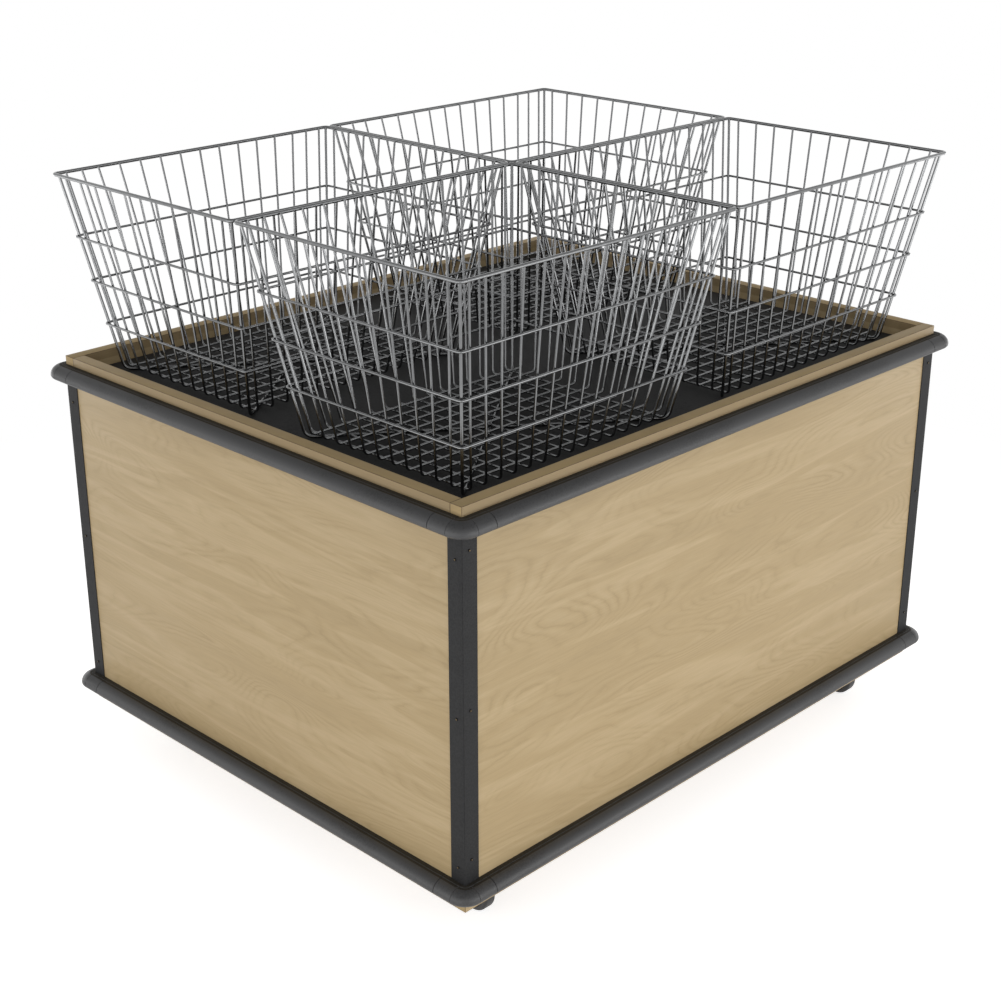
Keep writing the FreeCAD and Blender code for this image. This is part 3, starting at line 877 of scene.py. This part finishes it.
class DUMPBIN_OT_angle_screws(bpy.types.Operator):
    """Makes the round-head screws of the corner angles"""

    bl_idname = "dumpbin.angle_screws"
    bl_label = "Angle screws"

    def execute(self, context):
        finishes = [finish("Black-coated screw", screw_shade_ring), finish("Worn brass", crown_brass)]
        shank = context.scene.dump_bin_sizes.screw_shank / 2
        head = mm(2.55)
        head_height = mm(1.6)
        thread_end = head_height + mm(13)
        tip = head_height + mm(15.5)
        tip_radius = mm(0.3)
        recess_span = mm(1.3)
        recess_depth = mm(0.9)
        brass_crown_share = 0.48
        turns = [math.pi / 2 * k / 6 for k in range(1, 7)]
        profile = [(head_height * (1 - math.cos(t)), head * math.sin(t)) for t in turns]
        profile += [(head_height, shank), (thread_end, shank), (tip, tip_radius)]
        tops = angle_screw_tops()
        bm = bmesh.new()
        recess = bmesh.new()
        for at, inward in tops:
            lathe(bm, at, inward, profile, steps=20)
            cross_recess(recess, at, inward, recess_span, recess_depth)
        name = "round_head_screws"
        mesh = to_mesh(name, bm)
        made = piece(name, mesh, finishes, "cabinet", ["angle_screws"])
        cut_with(made, recess)
        # Painted shade: each head's outer ring takes the near-black finish, and its crown the brass.
        for face in made.data.polygons:
            crown = min((face.center - top).length for top, _ in tops) < head * brass_crown_share
            face.material_index = 1 if crown else 0
        return {"FINISHED"}


# ---- Wire baskets --------------------------------------------------------------------------


def eased(points, radius, closed=False, steps=6):
    """A path with each of its corners turned into an arc."""
    path = [] if closed else [points[0]]
    count = len(points)
    inner = range(count) if closed else range(1, count - 1)
    for i in inner:
        before, at, after = points[i - 1], points[i], points[(i + 1) % count]
        way_in = (at - before).normalized()
        way_out = (after - at).normalized()
        turn = way_in.angle(way_out)
        back_off = radius * math.tan(turn / 2)
        start = at - way_in * back_off
        inward = (way_out - way_in * math.cos(turn)).normalized()
        centre = start + inward * radius
        for k in range(steps + 1):
            part = turn * k / steps
            forward = way_in * (radius * math.sin(part))
            path.append(centre + forward - inward * (radius * math.cos(part)))
    if not closed:
        path.append(points[-1])
    return path


def wires(name, paths, diameters, material, body, node):
    """A group of round wires along their paths."""
    curve = bpy.data.curves.new(name, "CURVE")
    curve.dimensions = "3D"
    curve.bevel_depth = 0.5
    curve.bevel_resolution = 3
    curve.use_fill_caps = True
    for (path, closed), diameter in zip(paths, diameters):
        spline = curve.splines.new("POLY")
        spline.points.add(len(path) - 1)
        for point, place in zip(spline.points, path):
            point.co = (*place, 1)
            point.radius = diameter
        spline.use_cyclic_u = closed
    return piece(name, curve, material, body, [node])


class Basket:
    """One basket's shape: where its walls and layers of wire lie, in the frame."""

    def __init__(self, corner):
        self.sizes = bpy.context.scene.dump_bin_sizes
        self.tan = math.tan(self.sizes.draft)
        self.cos = math.cos(self.sizes.draft)
        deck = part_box("deck_board")[1].z
        at = middle(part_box(f"basket_{corner}_hoops"))
        self.at = Vector((at.x, at.y, deck))
        grid = self.sizes.grid_wire
        self.rim_level = self.sizes.basket_height - self.sizes.rim_wire / 2
        self.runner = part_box(f"basket_{corner}_corner_wires")[0].z - deck + self.sizes.corner_wire / 2
        self.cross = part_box(f"basket_{corner}_cross_wires")[0].z - deck + grid / 2
        self.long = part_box(f"basket_{corner}_long_wires")[0].z - deck + grid / 2

    def half(self, outer, height):
        """Half the basket's size where its hoops touch its upright wires."""
        rim = self.sizes.rim_wire
        at_rim = outer / 2 - rim / 2 - rim / 2 / self.cos
        return at_rim - (self.rim_level - height) * self.tan

    def hoop(self, diameter, height):
        """One wire all round the basket at a height, with the shape of its corners."""
        x = self.half(self.sizes.basket_length, height) + diameter / 2 / self.cos
        y = self.half(self.sizes.basket_width, height) + diameter / 2 / self.cos
        plan = [(-x, -y), (x, -y), (x, y), (-x, y)]
        points = [self.at + Vector((px, py, height)) for px, py in plan]
        return eased(points, self.sizes.hoop_radius, closed=True), True

    def hoops(self):
        """Three rings and the rim."""
        sizes = self.sizes
        levels = [sizes.lowest_ring + k * sizes.ring_pitch for k in range(3)]
        paths = [self.hoop(sizes.grid_wire, level) for level in levels]
        paths.append(self.hoop(sizes.rim_wire, self.rim_level))
        return paths, [sizes.grid_wire] * 3 + [sizes.rim_wire]

    def u_wires(self, count, spread, reach, level, across):
        """U wires side by side. across says that they run along Y and spread along X.

        They fan out towards the rim, and the outer ones lean no more than the wall beside them.
        """
        inset = self.sizes.grid_wire / 2 / self.cos
        lean = self.half(spread, self.rim_level) - self.half(spread, level)
        paths = []
        for k in range(count):
            place = k - (count - 1) / 2
            side_low = place * self.sizes.floor_pitch
            fanned = min(abs(place) * self.sizes.rim_pitch, abs(side_low) + lean)
            side_high = math.copysign(fanned, place)
            run_low = self.half(reach, level) - inset
            run_high = self.half(reach, self.rim_level) - inset
            plan = [
                (-run_high, side_high, self.rim_level),
                (-run_low, side_low, level),
                (run_low, side_low, level),
                (run_high, side_high, self.rim_level),
            ]
            if across:
                plan = [(y, x, z) for x, y, z in plan]
            points = [self.at + Vector(p) for p in plan]
            paths.append((eased(points, self.sizes.wire_bend), False))
        return paths, [self.sizes.grid_wire] * count

    def cross_wires(self):
        sizes = self.sizes
        return self.u_wires(
            sizes.cross_wires, sizes.basket_length, sizes.basket_width, self.cross, True
        )

    def long_wires(self):
        sizes = self.sizes
        return self.u_wires(
            sizes.long_wires, sizes.basket_width, sizes.basket_length, self.long, False
        )

    def corner_wires(self):
        """Wires down the corners, whose feet run in under the floor and meet at its middle."""
        sizes = self.sizes
        lean = math.atan(math.sqrt(2) * self.tan)
        cut = sizes.hoop_radius * (2 - math.sqrt(2))
        inset = cut / 2 - sizes.grid_wire / 2 * (1 - 1 / math.sqrt(2)) / self.cos
        inset += (sizes.corner_wire / 2 + mm(0.1)) / math.cos(lean) / math.sqrt(2)

        def corner(way_x, way_y, height):
            x = self.half(sizes.basket_length, height) - inset
            y = self.half(sizes.basket_width, height) - inset
            return self.at + Vector((way_x * x, way_y * y, height))

        centre = self.at + UP * self.runner
        # The feet stop just short of where they would run into each other.
        apart = 1.2
        paths = []
        for way_x, way_y in CORNERS.values():
            foot = corner(way_x, way_y, self.runner)
            reach = foot - centre
            stop = centre + reach.normalized() * sizes.corner_wire / 2 * abs(reach.x / reach.y) * apart
            points = [corner(way_x, way_y, self.rim_level), foot, stop]
            paths.append((eased(points, sizes.corner_bend), False))
        return paths, [sizes.corner_wire] * 4


class DUMPBIN_OT_baskets(bpy.types.Operator):
    """Makes the four welded wire baskets"""

    bl_idname = "dumpbin.baskets"
    bl_label = "Wire baskets"

    def execute(self, context):
        steel = finish("Bright-plated wire", bright_wire)
        for corner in CORNERS:
            basket = Basket(corner)
            body = f"basket_{corner}"
            for kind in ("hoops", "cross_wires", "long_wires", "corner_wires"):
                paths, diameters = getattr(basket, kind)()
                name = f"{corner}_basket_{kind}"
                wires(name, paths, diameters, steel, body, f"basket_{corner}_{kind}")
        return {"FINISHED"}


# ---- Casters -------------------------------------------------------------------------------


def hexagon(bm, start, way, across, thick, soft=mm(0.5)):
    """A hexagonal head or nut with softened end faces."""
    turn = UP.rotation_difference(way)
    chamfer = 0.6
    rings = []
    for along, inset in ((0, soft), (soft, 0), (thick - soft, 0), (thick, soft)):
        radius = (across / 2 - inset * chamfer) / math.cos(math.pi / 6)
        ring = []
        for k in range(6):
            angle = math.pi / 3 * (k + 0.5)
            corner = Vector((radius * math.cos(angle), radius * math.sin(angle), along))
            ring.append(start + turn @ corner)
        rings.append(ring)
    skin(bm, rings)


class DUMPBIN_OT_caster_plates(bpy.types.Operator):
    """Makes the casters' plates, bearing races and screws"""

    bl_idname = "dumpbin.caster_plates"
    bl_label = "Caster plates"

    def execute(self, context):
        zinc = finish("Zinc-plated steel", zinc_plate)
        self.plates(zinc)
        self.screws(zinc)
        return {"FINISHED"}

    def plates(self, zinc):
        """Plates with round corners, each with the outer shell of its ball race."""
        thick = mm(2.5)
        round_corner = mm(7)
        widest = mm(21.9)
        shoulder = mm(21.2)
        lip = mm(18.5)
        bore = mm(5.1)
        # The share of the race's depth, and the radius there.
        profile = [(0, widest), (0.35, widest), (0.6, shoulder)]
        profile += [(0.98, lip), (0.98, bore), (0.2, bore)]
        bm = bmesh.new()
        for low, high in islands("caster_plates"):
            at = (low + high) / 2
            side = high.x - low.x
            made = cuboid(bm, (side, side, thick), (at.x, at.y, high.z - thick / 2))
            edges = dict.fromkeys(e for v in made for e in v.link_edges)
            geom = [e for e in edges if abs(e.verts[0].co.z - e.verts[1].co.z) > thick / 2]
            bmesh.ops.bevel(
                bm, geom=geom, offset=round_corner, segments=6, profile=0.5, affect="EDGES"
            )
            race = high.z - low.z - thick
            centre = Vector((at.x, at.y, high.z - thick))
            lathe(bm, centre, -UP, [(race * share, radius) for share, radius in profile])
        # The bevel adds its corners in an order that changes from run to run, so they are sorted.
        for elements, place in (
            (bm.verts, lambda vert: vert.co[:]),
            (bm.faces, lambda face: sorted(vert.co[:] for vert in face.verts)),
        ):
            rank = {each: k for k, each in enumerate(sorted(elements, key=place))}
            elements.sort(key=rank.get)
        mesh = to_mesh("swivel_plates", bm)
        piece("swivel_plates", mesh, zinc, "cabinet", ["caster_plates"])

    def screws(self, zinc):
        """Screws with a hexagon head on a thin round flange."""
        head = mm(3.5)
        flange = mm(0.8)
        flange_edge = mm(3.95)
        inside_flange = mm(0.6)
        shank = mm(2.35)
        profile = [(0, mm(3.6)), (mm(0.3), flange_edge), (flange, flange_edge)]
        bm = bmesh.new()
        for low, high in islands("caster_screws"):
            at = (low + high) / 2
            foot = Vector((at.x, at.y, low.z))
            across = min(high.x - low.x, high.y - low.y) - inside_flange
            hexagon(bm, foot, UP, across, head - flange)
            lathe(bm, foot + UP * (head - flange), UP, profile, steps=24)
            start = foot + UP * head
            lathe(bm, start, UP, [(0, shank), (high.z - start.z, shank)], steps=16)
        mesh = to_mesh("hex_screws", bm)
        piece("hex_screws", mesh, zinc, "cabinet", ["caster_screws"])


def fork_leg(bm, x_range, crown_z, axle, spread, foot):
    """One leg of pressed sheet: wide under the crown, round about the axle."""
    outline = [(-spread, crown_z)]
    for k in range(13):
        angle = math.pi + math.pi * k / 12
        outline.append((axle.y + foot * math.cos(angle), axle.z + foot * math.sin(angle)))
    outline.append((spread, crown_z))
    skin(bm, [[Vector((x, y, z)) for y, z in outline] for x in x_range])


class DUMPBIN_OT_casters(bpy.types.Operator):
    """Makes the swivelling forks, axle bolts and wheels"""

    bl_idname = "dumpbin.casters"
    bl_label = "Caster forks and wheels"

    def execute(self, context):
        zinc = finish("Zinc-plated steel", zinc_plate)
        black = finish("Moulded black wheel", wheel_plastic)
        for corner in CORNERS:
            self.fork(corner, zinc)
            self.axle(corner, zinc)
            self.wheel(corner, black)
        return {"FINISHED"}

    def fork(self, corner, zinc):
        """A crown with its kingpin, and a leg of pressed sheet on either side of the wheel."""
        node = f"caster_{corner}_fork"
        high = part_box(node)[1]
        wheel_low, wheel_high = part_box(f"caster_{corner}_wheel")
        axle = middle((wheel_low, wheel_high))
        crown_radius = mm(20)
        crown = mm(2.5)
        crown_edge = mm(19.9)
        kingpin = mm(4.9)
        sheet = mm(2)
        spread = mm(14)
        foot = mm(8.8)
        below_race = mm(0.3)
        beside_wheel = mm(0.8)
        pivot = Vector((axle.x, high.y - crown_radius, 0))
        race_bottom = min(low.z for low, _ in islands("caster_plates"))
        crown_top = race_bottom - below_race
        start = Vector((pivot.x, pivot.y, crown_top))
        profile = [(0, mm(16.5)), (mm(0.8), mm(19.2)), (mm(1.6), crown_edge), (crown, crown_edge)]
        bm = bmesh.new()
        lathe(bm, start, -UP, profile)
        lathe(bm, start, UP, [(0, kingpin), (high.z - crown_top, kingpin)], steps=24)
        inner = (wheel_high.x - wheel_low.x) / 2 + beside_wheel
        local = Vector((0, axle.y - pivot.y, axle.z))
        for start_x in (-inner - sheet, inner):
            x_range = (pivot.x + start_x, pivot.x + start_x + sheet)
            leg = bmesh.new()
            fork_leg(leg, x_range, crown_top - crown, local, spread, foot)
            bmesh.ops.translate(leg, vec=(0, pivot.y, 0), verts=leg.verts)
            mesh = to_mesh("leg", leg)
            bm.from_mesh(mesh)
            bpy.data.meshes.remove(mesh)
        name = f"{corner}_fork"
        piece(name, to_mesh(name, bm), zinc, f"caster_{corner}_swivel", [node])

    def axle(self, corner, zinc):
        """A bolt through both legs, with its head, its nut and the end of its thread."""
        node = f"caster_{corner}_axle"
        low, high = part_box(node)
        at = middle((low, high))
        way = Vector((1, 0, 0))
        thick = mm(5)
        across = mm(13)
        shank = mm(4)
        thread = mm(1.6)
        past_nut = mm(1.5)
        thread_end = [(0, mm(3.9)), (thread, mm(3.4))]

        def on_axis(x):
            return Vector((x, at.y, at.z))

        bm = bmesh.new()
        run = high.x - low.x - 2 * thick
        lathe(bm, on_axis(low.x + thick), way, [(0, shank), (run, shank)], steps=24)
        hexagon(bm, on_axis(low.x), way, across, thick)
        hexagon(bm, on_axis(high.x - thick), way, across, thick - past_nut)
        lathe(bm, on_axis(high.x - thread), way, thread_end, steps=24)
        name = f"{corner}_axle_bolt"
        piece(name, to_mesh(name, bm), zinc, f"caster_{corner}_swivel", [node])

    def wheel(self, corner, black):
        """A wheel with a rounded tread, hollowed sides and a raised hub."""
        node = f"caster_{corner}_wheel"
        low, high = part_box(node)
        at = middle((low, high))
        half = (high.x - low.x) / 2
        radius = (high.z - low.z) / 2
        tread = mm(4)
        bore = mm(4.05)
        side = []
        for turn in [math.pi / 2 * k / 6 for k in range(7)]:
            out = half - tread + tread * math.sin(turn)
            side.append((out, radius - tread + tread * math.cos(turn)))
        side += [
            (half - mm(0.3), radius - mm(7)),
            (half - mm(2.2), radius - mm(8.5)),
            (half - mm(2.6), mm(12)),
            (half - mm(0.4), mm(10)),
            (half, mm(9)),
            (half, bore),
        ]
        profile = [(-x, r) for x, r in side[::-1]] + side
        steps = 64
        rings = []
        for k in range(steps):
            turn = 2 * math.pi * k / steps
            sin, cos = math.sin(turn), math.cos(turn)
            rings.append([at + Vector((x, r * cos, r * sin)) for x, r in profile])
        bm = bmesh.new()
        skin(bm, rings, closed=True)
        name = f"{corner}_wheel"
        piece(name, to_mesh(name, bm), black, f"caster_{corner}_roller", [node])


# ---- Stage ---------------------------------------------------------------------------------


class DUMPBIN_OT_stage(bpy.types.Operator):
    """Makes the floor, the soft lights, the white surround and the camera"""

    bl_idname = "dumpbin.stage"
    bl_label = "Studio"

    def execute(self, context):
        self.floor()
        self.surround(context)
        self.lights(context)
        self.camera(context)
        return {"FINISHED"}

    def floor(self):
        """A pale floor: it takes the object's shadow close by, and is plain white far off."""
        half_size = 30
        below_wheels = mm(0.5)
        shadow_reach = 0.8
        white_from = 2.0
        bm = bmesh.new()
        bmesh.ops.create_grid(bm, x_segments=1, y_segments=1, size=half_size)
        mesh = to_mesh("studio_floor", bm)
        made = bpy.data.objects.new("studio_floor", mesh)
        bpy.context.scene.collection.objects.link(made)
        made.location.z = -below_wheels
        material = bpy.data.materials.new("Matt studio floor")
        material.use_nodes = True
        tree = material.node_tree
        tree.nodes.clear()
        tone = bpy.context.scene.dump_bin_colours.floor
        matt = add(tree, "ShaderNodeBsdfDiffuse", {"Color": tone}).outputs[0]
        # To the eye and to reflections the floor is lifted to white, and beyond 2 m it is white.
        lift = add(tree, "ShaderNodeEmission", {"Strength": 0.7}).outputs[0]
        lifted = add(tree, "ShaderNodeAddShader", {0: matt, 1: lift}).outputs[0]
        white = add(tree, "ShaderNodeEmission", {"Strength": 1.0}).outputs[0]
        place = add(tree, "ShaderNodeTexCoord").outputs["Object"]
        far = add(tree, "ShaderNodeVectorMath", {0: place}, operation="LENGTH").outputs["Value"]
        fade = {"Value": far, "From Min": shadow_reach, "From Max": white_from}
        far = add(tree, "ShaderNodeMapRange", fade, interpolation_type="SMOOTHSTEP").outputs[0]
        shown = add(tree, "ShaderNodeMixShader", {0: far, 1: lifted, 2: white}).outputs[0]
        seen = self.seen(tree)
        floor = add(tree, "ShaderNodeMixShader", {0: seen, 1: matt, 2: shown}).outputs[0]
        add(tree, "ShaderNodeOutputMaterial", {"Surface": floor})
        mesh.materials.append(material)

    def seen(self, tree):
        """1 for rays that come from the camera or by way of a reflection or glass."""
        path = add(tree, "ShaderNodeLightPath").outputs
        level = path["Is Camera Ray"]
        for kind in ("Is Glossy Ray", "Is Transmission Ray"):
            sockets = {0: level, 1: path[kind]}
            level = add(tree, "ShaderNodeMath", sockets, operation="MAXIMUM").outputs[0]
        return level

    def surround(self, context):
        """White all round to the eye and to reflections, softer as a light, and dimmer overhead."""
        world = bpy.data.worlds.new("White surround")
        context.scene.world = world
        world.use_nodes = True
        tree = world.node_tree
        tree.nodes.clear()
        place = add(tree, "ShaderNodeTexCoord").outputs["Generated"]
        height = add(tree, "ShaderNodeSeparateXYZ", {0: place}).outputs["Z"]

        def sky(low, high, around, overhead):
            """A background that goes from one strength to another between two heights."""
            fade = {"Value": height, "From Min": low, "From Max": high}
            fade |= {"To Min": around, "To Max": overhead}
            level = add(tree, "ShaderNodeMapRange", fade, interpolation_type="SMOOTHSTEP")
            sockets = {"Color": (1, 1, 1, 1), "Strength": level.outputs[0]}
            return add(tree, "ShaderNodeBackground", sockets).outputs[0]

        soft = sky(0.1, 0.8, 0.6, 0.45)
        white = sky(0.35, 0.8, 1.0, 0.35)
        mixed = add(tree, "ShaderNodeMixShader", {0: self.seen(tree), 1: soft, 2: white})
        add(tree, "ShaderNodeOutputWorld", {"Surface": mixed.outputs[0]})

    def lights(self, context):
        """Wide, low strips of light, one along each side."""
        wide = 3.6
        tall = 0.7
        level = 0.36
        for name, x, y, power in (
            ("left_strip", -2.7, -0.2, 18.5),
            ("front_strip", 0.3, -2.5, 23.5),
            ("right_strip", 2.9, 0.2, 16),
            ("back_strip", -0.3, 2.8, 16),
        ):
            lamp = bpy.data.lights.new(name, "AREA")
            lamp.shape = "RECTANGLE"
            lamp.size = wide
            lamp.size_y = tall
            lamp.energy = power
            made = bpy.data.objects.new(name, lamp)
            made.visible_camera = False
            context.scene.collection.objects.link(made)
            made.location = (x, y, level)
            inward = Vector((-x, 0, 0)) if abs(x) > abs(y) else Vector((0, -y, 0))
            made.rotation_euler = inward.to_track_quat("-Z", "Y").to_euler()

    def camera(self, context):
        """A long lens that looks at the near corner from a little above."""
        azimuth = math.radians(-45.633)
        elevation = math.radians(22.37)
        back = Vector(
            (
                math.sin(azimuth) * math.cos(elevation),
                -math.cos(azimuth) * math.cos(elevation),
                math.sin(elevation),
            )
        )
        lens = bpy.data.cameras.new("camera")
        lens.lens = 63.53
        lens.sensor_width = 36
        lens.clip_end = 100
        made = bpy.data.objects.new("camera", lens)
        context.scene.collection.objects.link(made)
        made.location = (-2.15214, -2.07825, 1.66275)
        made.rotation_euler = (-back).to_track_quat("-Z", "Y").to_euler()
        context.scene.camera = made
        context.scene.view_settings.view_transform = "Standard"


# ---- Add-on --------------------------------------------------------------------------------

PIECES = (
    DUMPBIN_OT_panels,
    DUMPBIN_OT_boards,
    DUMPBIN_OT_bumper_rails,
    DUMPBIN_OT_bumper_corners,
    DUMPBIN_OT_corner_angles,
    DUMPBIN_OT_angle_screws,
    DUMPBIN_OT_baskets,
    DUMPBIN_OT_caster_plates,
    DUMPBIN_OT_casters,
    DUMPBIN_OT_stage,
)


class DUMPBIN_PT_panel(bpy.types.Panel):
    """Lists the bin's sizes, colours and pieces"""

    bl_label = "Dump Bin"
    bl_idname = "DUMPBIN_PT_panel"
    bl_space_type = "VIEW_3D"
    bl_region_type = "UI"
    bl_category = "Dump Bin"

    def draw(self, context):
        layout = self.layout
        for group in (context.scene.dump_bin_sizes, context.scene.dump_bin_colours):
            column = layout.column(align=True)
            for name in group.__annotations__:
                column.prop(group, name)
        for operator in PIECES:
            layout.operator(operator.bl_idname)


CLASSES = (DumpBinSizes, DumpBinColours, *PIECES, DUMPBIN_PT_panel)


def register():
    for each in CLASSES:
        bpy.utils.register_class(each)
    bpy.types.Scene.dump_bin_sizes = bpy.props.PointerProperty(type=DumpBinSizes)
    bpy.types.Scene.dump_bin_colours = bpy.props.PointerProperty(type=DumpBinColours)


def unregister():
    del bpy.types.Scene.dump_bin_colours
    del bpy.types.Scene.dump_bin_sizes
    for each in reversed(CLASSES):
        bpy.utils.unregister_class(each)


def main():
    register()
    bpy.ops.dumpbin.panels()
    bpy.ops.dumpbin.boards()
    bpy.ops.dumpbin.bumper_rails()
    bpy.ops.dumpbin.bumper_corners()
    bpy.ops.dumpbin.corner_angles()
    bpy.ops.dumpbin.angle_screws()
    bpy.ops.dumpbin.baskets()
    bpy.ops.dumpbin.caster_plates()
    bpy.ops.dumpbin.casters()
    bpy.ops.dumpbin.stage()


if __name__ == "__main__":
    main()
